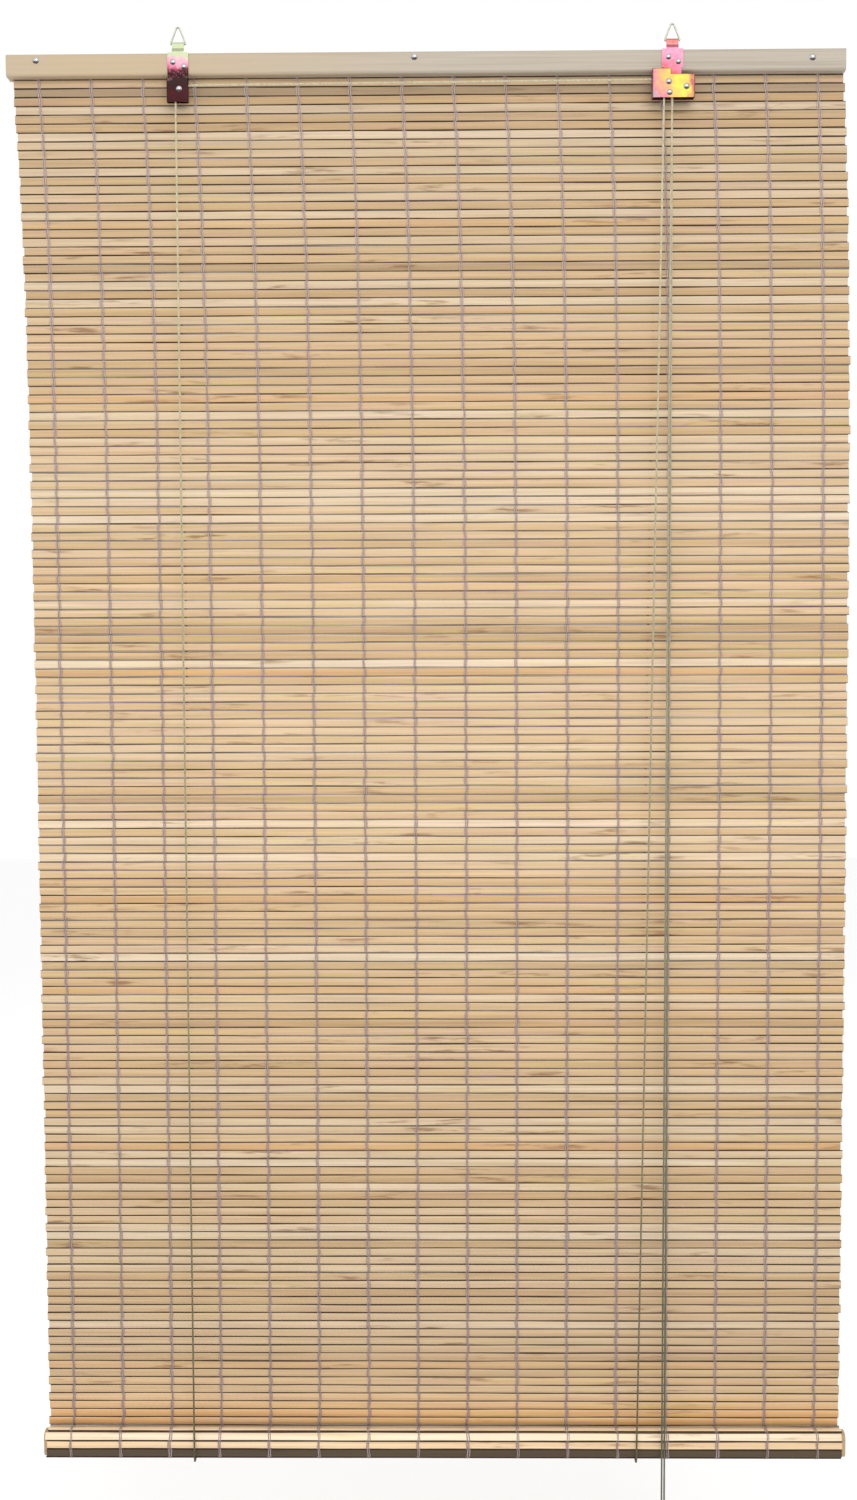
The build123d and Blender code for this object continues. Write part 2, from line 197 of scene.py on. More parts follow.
def rangeNode(tree, value, low, high, newLow=0.0, newHigh=1.0):
    links = {"Value": value, "From Min": low, "From Max": high, "To Min": newLow, "To Max": newHigh}
    return addNode(tree, "ShaderNodeMapRange", links).outputs["Result"]


def blendColour(tree, factor, first, second, mode="MIX"):
    node = addNode(tree, "ShaderNodeMix", data_type="RGBA", blend_type=mode)
    for socket, value in ((node.inputs[0], factor), (node.inputs[6], first), (node.inputs[7], second)):
        if isinstance(value, bpy.types.NodeSocket):
            tree.links.new(value, socket)
        else:
            socket.default_value = value
    return node.outputs[2]


def addBump(tree, shader, height, strength, distance):
    bump = addNode(tree, "ShaderNodeBump", {"Height": height, "Strength": strength, "Distance": distance})
    tree.links.new(bump.outputs["Normal"], shader.inputs["Normal"])


bambooLook = {
    "tones": [
        (0.00, srgb(160, 132, 98)),
        (0.22, srgb(184, 156, 118)),
        (0.45, srgb(199, 170, 130)),
        (0.62, srgb(206, 179, 143)),
        (0.80, srgb(212, 190, 158)),
        (1.00, srgb(222, 204, 178)),
    ],
    "warmColour": srgb(212, 158, 98),
    "warmShare": 0.85,
    "driftScale": (3.5, 150, 150),
    "driftSize": 0.16,
    "slatShift": 0.731,
    "pink": {
        "colour": srgb(200, 162, 140),
        "scale": (6.0, 170, 170),
        "centre": (0.3, 0, 0),
        "range": (0.56, 0.72),
        "share": 0.42,
    },
    "straw": {
        "colour": srgb(202, 178, 118),
        "scale": (5.0, 190, 190),
        "centre": (0.9, 0, 0),
        "range": (0.57, 0.74),
        "share": 0.5,
    },
    "stainColour": srgb(124, 84, 54),
    "stainShare": 0.7,
    "rareScale": (9.0, 60, 60),
    "rareCentre": (1.7, 0, 0),
    # The next keys paint shade along the slat edges and a highlight on each slat's upper edge.
    "gapShadeColour": srgb(56, 34, 18),
    "paintedHighlightColour": srgb(228, 208, 178),
    "gapShadeStart": 0.80,
    "gapShadeEnd": 0.91,
    "gapShadeShare": 0.96,
    "paintedHighlightRange": (0.55, 0.82),
    "paintedHighlightShare": 0.35,
    "gapShadeWaverScale": (9.0, 100.0, 100.0),
    "gapShadeWaverCentre": (2.3, 0, 0),
    "gapShadeWaverSize": 0.07,
    "streakScale": (5.0, 420.0, 420.0),
    "streakShades": (0.84, 1.1),
    "bumpStrength": 0.25,
    "bumpDepth": 0.0004,
    "stainScale": (26.0, 260.0, 260.0),
    "roughness": (0.42, 0.62),
    "specular": 0.22,
}


def slatPlace(tree, scale, centre=(0, 0, 0)):
    # Object coordinates shifted for each slat, so that no grain runs on into the next one.
    coordinates = addNode(tree, "ShaderNodeTexCoord").outputs["Object"]
    number = addNode(tree, "ShaderNodeAttribute", attribute_name="slatNumber").outputs["Fac"]
    shift = mathNode(tree, "MULTIPLY", number, bambooLook["slatShift"])
    shifted = addNode(tree, "ShaderNodeCombineXYZ", {0: shift}).outputs[0]
    moved = addNode(tree, "ShaderNodeVectorMath", {0: coordinates, 1: shifted}, operation="ADD")
    offset = [-c * s for c, s in zip(centre, scale)]
    links = {"Vector": moved.outputs[0], "Scale": scale, "Location": offset}
    return addNode(tree, "ShaderNodeMapping", links).outputs[0]


def slatAttribute(tree, name):
    return addNode(tree, "ShaderNodeAttribute", attribute_name=name).outputs["Fac"]


def makeBamboo():
    look = bambooLook
    material, tree, shader = newMaterial("bambooSlat")
    across = slatAttribute(tree, "across")
    # The slat's own tone, which drifts along its length.
    drift = noise(tree, slatPlace(tree, look["driftScale"]), 1.0, 3.0)
    drift = rangeNode(tree, drift, 0.25, 0.75, -look["driftSize"], look["driftSize"])
    tone = mathNode(tree, "ADD", slatAttribute(tree, "tone"), drift)
    warm = mathNode(tree, "MULTIPLY", slatAttribute(tree, "warm"), look["warmShare"], True)
    colour = blendColour(tree, warm, colourRamp(tree, tone, look["tones"]), look["warmColour"])
    # Pink and straw-yellow patches.
    for key in ("pink", "straw"):
        patch = look[key]
        cloud = noise(tree, slatPlace(tree, patch["scale"], patch["centre"]), 1.0, 2.0)
        cloud = rangeNode(tree, cloud, *patch["range"], 0.0, patch["share"])
        colour = blendColour(tree, cloud, colour, patch["colour"])
    # Fine streaks along the fibres.
    streaks = noise(tree, slatPlace(tree, look["streakScale"]), 1.0, 4.0, 0.62)
    colour = multiplyColour(tree, colour, rangeNode(tree, streaks, 0.3, 0.7, *look["streakShades"]))
    # A few short dark stains.
    spots = noise(tree, slatPlace(tree, look["stainScale"]), 1.0, 3.0, 0.6)
    rare = noise(tree, slatPlace(tree, look["rareScale"], look["rareCentre"]), 1.0, 1.0)
    spots, rare = rangeNode(tree, spots, 0.5, 0.66), rangeNode(tree, rare, 0.6, 0.7)
    stain = mathNode(tree, "MULTIPLY", mathNode(tree, "MULTIPLY", spots, rare, True), look["stainShare"])
    colour = blendColour(tree, stain, colour, look["stainColour"])
    # Painted highlight: the upper edge of each slat is paler, as if it caught the light from above.
    paintedHighlight = rangeNode(tree, across, *look["paintedHighlightRange"], 0.0, look["paintedHighlightShare"])
    colour = blendColour(tree, paintedHighlight, colour, look["paintedHighlightColour"])
    # Painted shading: each slat's colour is scaled by its own factor, darker for painted shade and lighter
    # for painted light.
    colour = multiplyColour(tree, colour, slatAttribute(tree, "paintedShading"))
    # Painted shade: both edges of each slat are dark, as the gaps between the slats would be in shade; a
    # noise varies the width of the dark lines.
    gapShadeWaver = noise(tree, slatPlace(tree, look["gapShadeWaverScale"], look["gapShadeWaverCentre"]), 1.0, 2.0)
    gapShadeWaver = rangeNode(tree, gapShadeWaver, 0.3, 0.7, -look["gapShadeWaverSize"], look["gapShadeWaverSize"])
    reach = mathNode(tree, "ADD", mathNode(tree, "ABSOLUTE", across), gapShadeWaver)
    gapShade = rangeNode(tree, reach, look["gapShadeStart"], look["gapShadeEnd"], 0.0, look["gapShadeShare"])
    colour = blendColour(tree, gapShade, colour, look["gapShadeColour"])
    tree.links.new(colour, shader.inputs["Base Color"])
    roughness = rangeNode(tree, streaks, 0.3, 0.7, *look["roughness"])
    tree.links.new(roughness, shader.inputs["Roughness"])
    shader.inputs["Specular IOR Level"].default_value = look["specular"]
    addBump(tree, shader, streaks, look["bumpStrength"], look["bumpDepth"])
    return material


def makeWood(name, light, dark, patchColour, patchPlace, roughness):
    # Planed wood whose grain runs along X, with one warmer patch.
    material, tree, shader = newMaterial(name)
    grain = noise(tree, objectPlace(tree, (2.2, 210, 210)), 1.0, 5.0, 0.62)
    fine = noise(tree, objectPlace(tree, (14, 900, 900)), 1.0, 2.0)
    palest = [min(1, c * 1.08) for c in light[:3]] + [1]
    colour = colourRamp(tree, grain, [(0.28, dark), (0.5, light), (0.75, palest)])
    colour = blendColour(tree, rangeNode(tree, fine, 0.3, 0.75, 0.0, 0.25), colour, dark)
    place = objectPlace(tree, (1, 1, 1), patchPlace)
    distance = addNode(tree, "ShaderNodeVectorMath", {0: place}, operation="LENGTH").outputs["Value"]
    colour = blendColour(tree, rangeNode(tree, distance, 0.05, 0.32, 0.6, 0.0), colour, patchColour)
    tree.links.new(colour, shader.inputs["Base Color"])
    tree.links.new(rangeNode(tree, fine, 0.3, 0.7, roughness, roughness + 0.15), shader.inputs["Roughness"])
    addBump(tree, shader, grain, 0.2, 0.0003)
    return material


def makeZinc(name, centre, along, stops, tintColours, roughness=0.34):
    # Passivated zinc: colours run along a direction (in 1/m, from the centre) and drift in patches.
    material, tree, shader = newMaterial(name, Metallic=0.85)
    place = objectPlace(tree, (1, 1, 1), centre)
    product = addNode(tree, "ShaderNodeVectorMath", {0: place, 1: along}, operation="DOT_PRODUCT")
    run = product.outputs["Value"]
    cloud = noise(tree, objectPlace(tree, (110, 110, 110)), 1.0, 2.0)
    run = mathNode(tree, "ADD", run, rangeNode(tree, cloud, 0.3, 0.7, 0.38, 0.62))
    colour = colourRamp(tree, run, stops)
    spots = noise(tree, objectPlace(tree, (260, 260, 260), (0.2, 0, 0)), 1.0, 2.0)
    colour = blendColour(tree, rangeNode(tree, spots, 0.55, 0.7, 0.0, 0.35), colour, tintColours[0])
    colour = blendColour(tree, rangeNode(tree, spots, 0.45, 0.3, 0.0, 0.35), colour, tintColours[1])
    tree.links.new(colour, shader.inputs["Base Color"])
    grit = noise(tree, objectPlace(tree, (1500, 1500, 1500)), 1.0, 2.0)
    matt = rangeNode(tree, grit, 0.3, 0.7, roughness - 0.06, roughness + 0.1)
    tree.links.new(matt, shader.inputs["Roughness"])
    addBump(tree, shader, grit, 0.12, 0.0001)
    return material


def makeSteel(name, colour, darkReflectionAndTarnish, roughness, metallic=1.0):
    # Bright metal with a painted dark reflection on the faces that point down, as if they mirrored a dark
    # ground, and faint tarnish in patches.
    material, tree, shader = newMaterial(name, Metallic=metallic)
    normal = addNode(tree, "ShaderNodeTexCoord").outputs["Normal"]
    facing = addNode(tree, "ShaderNodeSeparateXYZ", {0: normal}).outputs["Z"]
    cloud = noise(tree, objectPlace(tree, (900, 900, 900)), 1.0, 3.0)
    # Painted dark reflection where the surface faces down.
    paintedDarkReflection = rangeNode(tree, facing, -0.05, -0.45, 0.0, 0.85)
    factor = mathNode(tree, "ADD", paintedDarkReflection, rangeNode(tree, cloud, 0.5, 0.8, 0.0, 0.25), True)
    tree.links.new(blendColour(tree, factor, colour, darkReflectionAndTarnish), shader.inputs["Base Color"])
    tree.links.new(rangeNode(tree, cloud, 0.3, 0.7, roughness, roughness + 0.12), shader.inputs["Roughness"])
    return material


def makeTwine(name, topColour, lowColour, top, low, fibreScale=700.0):
    # Laid cord, paler near the top and darker towards the bottom.
    material, tree, shader = newMaterial(name)
    height = addNode(tree, "ShaderNodeSeparateXYZ", {0: objectPlace(tree)}).outputs["Z"]
    run = rangeNode(tree, height, top, low)
    fibre = noise(tree, objectPlace(tree, (fibreScale, fibreScale, fibreScale * 0.35)), 1.0, 3.0, 0.6)
    colour = blendColour(tree, run, topColour, lowColour)
    colour = multiplyColour(tree, colour, rangeNode(tree, fibre, 0.3, 0.7, 0.72, 1.15))
    tree.links.new(colour, shader.inputs["Base Color"])
    shader.inputs["Roughness"].default_value = 0.82
    shader.inputs["Sheen Weight"].default_value = 0.15
    addBump(tree, shader, fibre, 0.5, 0.0002)
    return material


def makePlain(name, colour, speck, roughness, metallic=0.0):
    # Moulded or cast stuff with faint clouding.
    material, tree, shader = newMaterial(name, Metallic=metallic)
    cloud = noise(tree, objectPlace(tree, (420, 420, 420)), 1.0, 3.0)
    clouded = blendColour(tree, rangeNode(tree, cloud, 0.35, 0.75, 0.0, 0.6), colour, speck)
    tree.links.new(clouded, shader.inputs["Base Color"])
    tree.links.new(rangeNode(tree, cloud, 0.3, 0.7, roughness, roughness + 0.15), shader.inputs["Roughness"])
    addBump(tree, shader, cloud, 0.15, 0.0001)
    return material


bambooSlat = makeBamboo()
print("bamboo finish is ready")

mat = {
    "offset": 2.0 * mm,
    "drift": 11.4 * mm,
    "driftDepth": 180.0 * mm,
    "endUnevenness": 0.8 * mm,
    "pitch": 8.35 * mm,
    "slatLength": 800.0 * mm,
    "slatThickness": 1.5 * mm,
    "battenDepth": 16.0 * mm,
    "battenHeight": 25.4 * mm,
    "battenCorner": 6.0 * mm,
    "wrapClearance": 0.2 * mm,
    "clampedSlats": 2,
    "upperSlats": 12,
    "bandSizes": [5] + [6] * 3 + [5] * 10 + [4] * 10 + [3] * 11 + [2],
    "rollSlats": 9,
}
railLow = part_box("front_batten")[0].z
matY = sum(corner.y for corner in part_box("slat_band_01")) / 2
firstSlatTop = railLow - 0.4 * mm
flatSlats = mat["upperSlats"] + sum(mat["bandSizes"])
flatEnd = firstSlatTop - flatSlats * mat["pitch"]


def creep(z):
    # The mat's middle, which drifts to the right below the rail.
    depth = max(railLow - z, 0.0)
    return mat["offset"] + mat["drift"] * (1 - math.exp(-depth / mat["driftDepth"]))


def wrapPlace(distance):
    # (y, z, turn) at a distance along the mat: straight down, then round the bottom batten.
    if distance <= 0:
        return matY, flatEnd - distance, 0.0
    halfThickness = mat["slatThickness"] / 2
    bend = mat["battenCorner"] + mat["wrapClearance"] + halfThickness
    down = mat["wrapClearance"] + halfThickness
    corner = mat["battenCorner"]
    top = flatEnd - down
    low = top - mat["battenHeight"] + corner
    back, front = matY - down - corner, matY - down - mat["battenDepth"] + corner
    corners = [(back, low), (front, low), (front, top - corner)]
    straights = [
        flatEnd - low,
        mat["battenDepth"] - 2 * corner,
        mat["battenHeight"] - 2 * corner,
        mat["battenDepth"] - 2 * corner,
    ]
    y, z, turn = matY, flatEnd, 0.0
    for number, straight in enumerate(straights):
        if distance <= straight or number == len(corners):
            return y - math.sin(turn) * distance, z - math.cos(turn) * distance, turn
        distance -= straight
        swept = min(distance / bend, math.pi / 2)
        y = corners[number][0] + bend * math.cos(turn + swept)
        z = corners[number][1] - bend * math.sin(turn + swept)
        if swept < math.pi / 2:
            return y, z, turn + swept
        distance -= bend * math.pi / 2
        turn += math.pi / 2
    return y, z, turn


def matPlace(number):
    # Where slat number (which may be between slats) has its middle.
    y, z, turn = wrapPlace((number + 0.5 - flatSlats) * mat["pitch"])
    return creep(max(z, flatEnd) if number < flatSlats else flatEnd), y, z, turn


bodySlats = {"headrail": range(-mat["clampedSlats"], mat["upperSlats"])}
bodyNodes = {"headrail": "upper_slats", "roll": "roll_slats"}
lastSlat = mat["upperSlats"]
for bandNumber, bandSize in enumerate(mat["bandSizes"], 1):
    bandName = f"slat_band_{bandNumber:02d}"
    bodySlats[bandName] = range(lastSlat, lastSlat + bandSize)
    bodyNodes[bandName] = bandName
    lastSlat += bandSize
bodySlats["roll"] = range(lastSlat, lastSlat + mat["rollSlats"])


def newTree(name, sockets):
    # An empty Geometry Nodes tree with named inputs, its input node and its output socket.
    tree = bpy.data.node_groups.new(name, "GeometryNodeTree")
    tree.interface.new_socket(name="Geometry", in_out="INPUT", socket_type="NodeSocketGeometry")
    for socketName, kind in sockets:
        tree.interface.new_socket(name=socketName, in_out="INPUT", socket_type=f"NodeSocket{kind}")
    tree.interface.new_socket(name="Geometry", in_out="OUTPUT", socket_type="NodeSocketGeometry")
    return tree, addNode(tree, "NodeGroupInput"), addNode(tree, "NodeGroupOutput").inputs[0]


def runTree(name, mesh, tree, values):
    # Puts a tree on a mesh, and keeps what it makes as a plain mesh object.
    source = bpy.data.objects.new(name + "Source", mesh)
    scene.collection.objects.link(source)
    modifier = source.modifiers.new(tree.name, "NODES")
    modifier.node_group = tree
    for item in tree.interface.items_tree:
        if item.in_out == "INPUT" and item.name in values:
            modifier[item.identifier] = values[item.name]
    depsgraph = bpy.context.evaluated_depsgraph_get()
    evaluated = source.evaluated_get(depsgraph)
    made = bpy.data.meshes.new_from_object(evaluated, preserve_all_data_layers=True, depsgraph=depsgraph)
    source.modifiers.clear()
    bpy.data.objects.remove(source)
    made.name = name
    result = bpy.data.objects.new(name, made)
    scene.collection.objects.link(result)
    return result


def namedValue(tree, name):
    return addNode(tree, "GeometryNodeInputNamedAttribute", {"Name": name}, data_type="FLOAT").outputs[0]


def makeSlatTree():
    sockets = [
        ("Slat Length", "Float"), ("Slat Width", "Float"), ("Slat Thickness", "Float"),
        ("Edge Chamfer", "Float"), ("Length Steps", "Int"), ("Edge Waver", "Float"),
        ("Face Waver", "Float"), ("Waver Scale", "Float"), ("Seed", "Float"),
        ("Slat Material", "Material"),
    ]
    tree, entry, exitSocket = newTree("slatRows", sockets)
    value = entry.outputs
    half = mathNode(tree, "MULTIPLY", value["Slat Length"], 0.5)
    minus = mathNode(tree, "MULTIPLY", half, -1.0)
    start = addNode(tree, "ShaderNodeCombineXYZ", {"X": minus}).outputs[0]
    end = addNode(tree, "ShaderNodeCombineXYZ", {"X": half}).outputs[0]
    line = addNode(tree, "GeometryNodeCurvePrimitiveLine", {"Start": start, "End": end})
    links = {"Curve": line.outputs[0], "Count": value["Length Steps"]}
    steps = addNode(tree, "GeometryNodeResampleCurve", links)
    links = {"Width": value["Slat Thickness"], "Height": value["Slat Width"]}
    outline = addNode(tree, "GeometryNodeCurvePrimitiveQuadrilateral", links)
    links = {"Curve": outline.outputs[0], "Radius": value["Edge Chamfer"]}
    cut = addNode(tree, "GeometryNodeFilletCurve", links)
    if "Mode" in cut.inputs:
        cut.inputs["Mode"].default_value = "Poly"
    else:
        cut.mode = "POLY"
    cut.inputs["Count"].default_value = 1
    links = {"Curve": steps.outputs[0], "Profile Curve": cut.outputs[0], "Fill Caps": True}
    body = addNode(tree, "GeometryNodeCurveToMesh", links)
    position = addNode(tree, "GeometryNodeInputPosition").outputs[0]
    parts = addNode(tree, "ShaderNodeSeparateXYZ", {0: position})
    halfWidth = mathNode(tree, "MULTIPLY", value["Slat Width"], 0.5)
    across = mathNode(tree, "DIVIDE", parts.outputs["Z"], halfWidth)
    links = {"Geometry": body.outputs[0], "Name": "across", "Value": across}
    store = addNode(tree, "GeometryNodeStoreNamedAttribute", links, data_type="FLOAT", domain="POINT")
    turn = namedValue(tree, "turn")
    euler = addNode(tree, "ShaderNodeCombineXYZ", {"X": turn}).outputs[0]
    stretched = {"X": namedValue(tree, "stretch"), "Y": 1.0, "Z": 1.0}
    scale = addNode(tree, "ShaderNodeCombineXYZ", stretched).outputs[0]
    links = {"Points": value["Geometry"], "Instance": store.outputs[0], "Rotation": euler, "Scale": scale}
    placed = addNode(tree, "GeometryNodeInstanceOnPoints", links)
    real = addNode(tree, "GeometryNodeRealizeInstances", {"Geometry": placed.outputs[0]})
    # Each slat's edges and face waver a little along its length.
    seeded = mathNode(tree, "MULTIPLY", namedValue(tree, "slatNumber"), 3.71)
    seeded = mathNode(tree, "ADD", seeded, value["Seed"])
    lengthwise = mathNode(tree, "MULTIPLY", parts.outputs["X"], value["Waver Scale"])
    sideRun = mathNode(tree, "MULTIPLY", namedValue(tree, "across"), 1.7)
    edgeLinks = {"X": lengthwise, "Y": seeded, "Z": sideRun}
    faceLinks = {"X": lengthwise, "Y": seeded, "Z": 9.0}
    edgeVector = addNode(tree, "ShaderNodeCombineXYZ", edgeLinks).outputs[0]
    faceVector = addNode(tree, "ShaderNodeCombineXYZ", faceLinks).outputs[0]
    offsets = []
    for vector, size in ((edgeVector, "Edge Waver"), (faceVector, "Face Waver")):
        links = {"Vector": vector, "Scale": 1.0, "Detail": 1.0}
        fac = addNode(tree, "ShaderNodeTexNoise", links).outputs["Fac"]
        spread = rangeNode(tree, fac, 0.25, 0.75, -1.0, 1.0)
        offsets.append(mathNode(tree, "MULTIPLY", spread, value[size]))
    offset = addNode(tree, "ShaderNodeCombineXYZ", {"Y": offsets[1], "Z": offsets[0]}).outputs[0]
    links = {"Vector": offset, "Angle": turn}
    turned = addNode(tree, "ShaderNodeVectorRotate", links, rotation_type="X_AXIS").outputs[0]
    moved = addNode(tree, "GeometryNodeSetPosition", {"Geometry": real.outputs[0], "Offset": turned})
    links = {"Geometry": moved.outputs[0], "Material": value["Slat Material"]}
    painted = addNode(tree, "GeometryNodeSetMaterial", links)
    tree.links.new(painted.outputs[0], exitSocket)
    return tree


slatLook = {
    "width": 8.16 * mm,
    "rollWidth": 7.75 * mm,
    "chamfer": 0.42 * mm,
    "lengthSteps": 19,
    "edgeWaver": 0.11 * mm,
    "faceWaver": 0.12 * mm,
    "waverScale": 7.0,
    "lengthWaver": 1.1 * mm,
    "seed": 2.0,
    "lastWarm": {-4: 0.35, -3: 0.55, -2: 0.75, -1: 0.9},
    # The roll's slats: their tones, with the top slats made pale as painted light, and painted shading that
    # puts painted shade on the back, underside and lower front and painted light on the front and top.
    "rollTonesAndPaintedLight": [0.5, 0.4, 0.4, 0.4, 0.4, 0.5, 0.62, 1.0, 0.9],
    "rollPaintedShading": [0.9, 0.7, 0.3, 0.1, 0.08, 0.13, 1.22, 1.2, 1.2],
    # Painted shading by slat number: a painted shadow under the rail, then light that falls off up and down
    # the mat.
    "paintedShadingByHeight": [
        (-2, 0.85), (0, 0.8), (1, 0.56), (2, 0.74), (5, 0.82), (30, 0.9),
        (60, 0.98), (90, 1.0), (125, 0.9), (152, 0.84), (156, 0.95), (162, 1.08),
    ],
}
slatRandom = random.Random(11)


def slatTone():
    # Most slats are straw coloured, a few are bleached and a few are dark or orange.
    tone = min(max(slatRandom.gauss(0.56, 0.15), 0.1), 0.95)
    if slatRandom.random() < 0.08:
        tone = slatRandom.uniform(0.82, 0.95)
    warm = slatRandom.uniform(0.3, 0.6) if slatRandom.random() < 0.1 else slatRandom.uniform(0.0, 0.16)
    return tone, warm, 1 + slatRandom.uniform(-1, 1) * slatLook["lengthWaver"] / mat["slatLength"]


def paintedShadingAt(number):
    # Painted shading for a slat's height, between the listed slats: a painted shadow under the rail, then
    # light that is brightest mid-mat, darker above and below, and lighter again just above the roll.
    stops = slatLook["paintedShadingByHeight"]
    for (low, lowPaintedShading), (high, highPaintedShading) in zip(stops, stops[1:]):
        if number <= high:
            return lowPaintedShading + (highPaintedShading - lowPaintedShading) * (number - low) / (high - low)
    return stops[-1][1]


def makeSlats(body, tree):
    # One body's slats, each from one point that holds its turn and its tones.
    numbers = list(bodySlats[body])
    mesh = bpy.data.meshes.new(body + "Points")
    places = []
    values = {"turn": [], "tone": [], "warm": [], "stretch": [], "slatNumber": [], "paintedShading": []}
    for number in numbers:
        x, y, z, turn = matPlace(number)
        uneven = mat["endUnevenness"] * math.sin(2.4 * number)
        places.append((x + uneven, y, z))
        tone, warm, stretch = slatTone()
        paintedShading = paintedShadingAt(number)
        if number >= flatSlats:
            tone = slatLook["rollTonesAndPaintedLight"][number - flatSlats]
            paintedShading = slatLook["rollPaintedShading"][number - flatSlats]
        warm = slatLook["lastWarm"].get(number - flatSlats, warm)
        for key, value in zip(values, (-turn, tone, warm, stretch, number, paintedShading)):
            values[key].append(value)
    mesh.from_pydata(places, [], [])
    for key, column in values.items():
        mesh.attributes.new(key, "FLOAT", "POINT").data.foreach_set("value", column)
    look = slatLook
    width = look["rollWidth"] if body == "roll" else look["width"]
    slats = runTree(body + "Slats", mesh, tree, {
        "Slat Length": mat["slatLength"],
        "Slat Width": width,
        "Slat Thickness": mat["slatThickness"],
        "Edge Chamfer": look["chamfer"],
        "Length Steps": look["lengthSteps"],
        "Edge Waver": look["edgeWaver"],
        "Face Waver": look["faceWaver"],
        "Waver Scale": look["waverScale"],
        "Seed": look["seed"],
        "Slat Material": bambooSlat,
    })
    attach(slats, body)
    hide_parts(bodyNodes[body])
    return slats


slatTree = makeSlatTree()
for bodyName in bodySlats:
    makeSlats(bodyName, slatTree)
print("slats are ready")


threadLook = {
    "count": 16,
    "spacing": 50.0 * mm,
    "firstX": -375.0 * mm,
    "radius": 0.48 * mm,
    "sides": 4,
    "frontStrands": (-1.25 * mm, 0.4 * mm),
    "backStrands": (-0.4 * mm, 1.25 * mm),
    "steps": (-0.5, -0.43, -0.3, 0.3, 0.43),
    "rise": (0.0, 0.86, 1.0, 1.0, 0.86),
    "wander": 0.9 * mm,
    "wanderScale": 9.0,
    "wanderStretch": (20.0, 0.0, 8.0),
}


def makeThreadTree():
    sockets = [
        ("Thread Count", "Int"), ("Thread Spacing", "Float"), ("Thread Radius", "Float"),
        ("Thread Sides", "Int"), ("Wander", "Float"), ("Wander Scale", "Float"),
        ("Thread Material", "Material"),
    ]
    tree, entry, exitSocket = newTree("warpThreads", sockets)
    value = entry.outputs
    curve = addNode(tree, "GeometryNodeMeshToCurve", {"Mesh": value["Geometry"]})
    links = {"Resolution": value["Thread Sides"], "Radius": value["Thread Radius"]}
    outline = addNode(tree, "GeometryNodeCurvePrimitiveCircle", links)
    links = {"Curve": curve.outputs[0], "Profile Curve": outline.outputs[0], "Fill Caps": True}
    strand = addNode(tree, "GeometryNodeCurveToMesh", links)
    apart = addNode(tree, "ShaderNodeCombineXYZ", {"X": value["Thread Spacing"]}).outputs[0]
    links = {"Count": value["Thread Count"], "Offset": apart}
    row = addNode(tree, "GeometryNodeMeshLine", links, mode="OFFSET")
    links = {"Points": row.outputs[0], "Instance": strand.outputs[0]}
    placed = addNode(tree, "GeometryNodeInstanceOnPoints", links)
    real = addNode(tree, "GeometryNodeRealizeInstances", {"Geometry": placed.outputs[0]})
    position = addNode(tree, "GeometryNodeInputPosition").outputs[0]
    links = {0: position, 1: threadLook["wanderStretch"]}
    stretched = addNode(tree, "ShaderNodeVectorMath", links, operation="MULTIPLY").outputs[0]
    links = {"Vector": stretched, "Scale": value["Wander Scale"], "Detail": 1.0}
    fac = addNode(tree, "ShaderNodeTexNoise", links).outputs["Fac"]
    shift = mathNode(tree, "MULTIPLY", rangeNode(tree, fac, 0.25, 0.75, -1.0, 1.0), value["Wander"])
    offset = addNode(tree, "ShaderNodeCombineXYZ", {"X": shift}).outputs[0]
    moved = addNode(tree, "GeometryNodeSetPosition", {"Geometry": real.outputs[0], "Offset": offset})
    smooth = addNode(tree, "GeometryNodeSetShadeSmooth", {"Geometry": moved.outputs[0]})
    links = {"Geometry": smooth.outputs[0], "Material": value["Thread Material"]}
    painted = addNode(tree, "GeometryNodeSetMaterial", links)
    tree.links.new(painted.outputs[0], exitSocket)
    return tree


def makeThreads(body, tree):
    # One body's warp threads. Each strand passes in front of one slat and behind the next.
    look = threadLook
    numbers = list(bodySlats[body])
    stand = mat["slatThickness"] / 2 + look["radius"] + slatLook["faceWaver"]
    points, edges = [], []
    for phase, shifts in ((1, look["frontStrands"]), (-1, look["backStrands"])):
        for shift in shifts:
            stops = [
                (number + step, rise * stand * phase * (-1) ** number)
                for number in numbers
                for step, rise in zip(look["steps"], look["rise"])
            ]
            stops.append((numbers[-1] + 0.5, 0.0))
            for count, (place, out) in enumerate(stops):
                x, y, z, turn = matPlace(place)
                across = x + look["firstX"] + shift
                points.append((across, y + out * math.cos(turn), z - out * math.sin(turn)))
                if count:
                    edges.append((len(points) - 2, len(points) - 1))
    mesh = bpy.data.meshes.new(body + "Yarns")
    mesh.from_pydata(points, edges, [])
    threads = runTree(body + "Threads", mesh, tree, {
        "Thread Count": look["count"],
        "Thread Spacing": look["spacing"],
        "Thread Radius": look["radius"],
        "Thread Sides": look["sides"],
        "Wander": look["wander"],
        "Wander Scale": look["wanderScale"],
        "Thread Material": warpCotton,
    })
    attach(threads, body)


warpCotton = makeTwine("warpCotton", srgb(186, 168, 166), srgb(160, 140, 140), 0.0, -1.4, 1600.0)
threadTree = makeThreadTree()
for bodyName in bodySlats:
    makeThreads(bodyName, threadTree)
print("warp threads are ready")

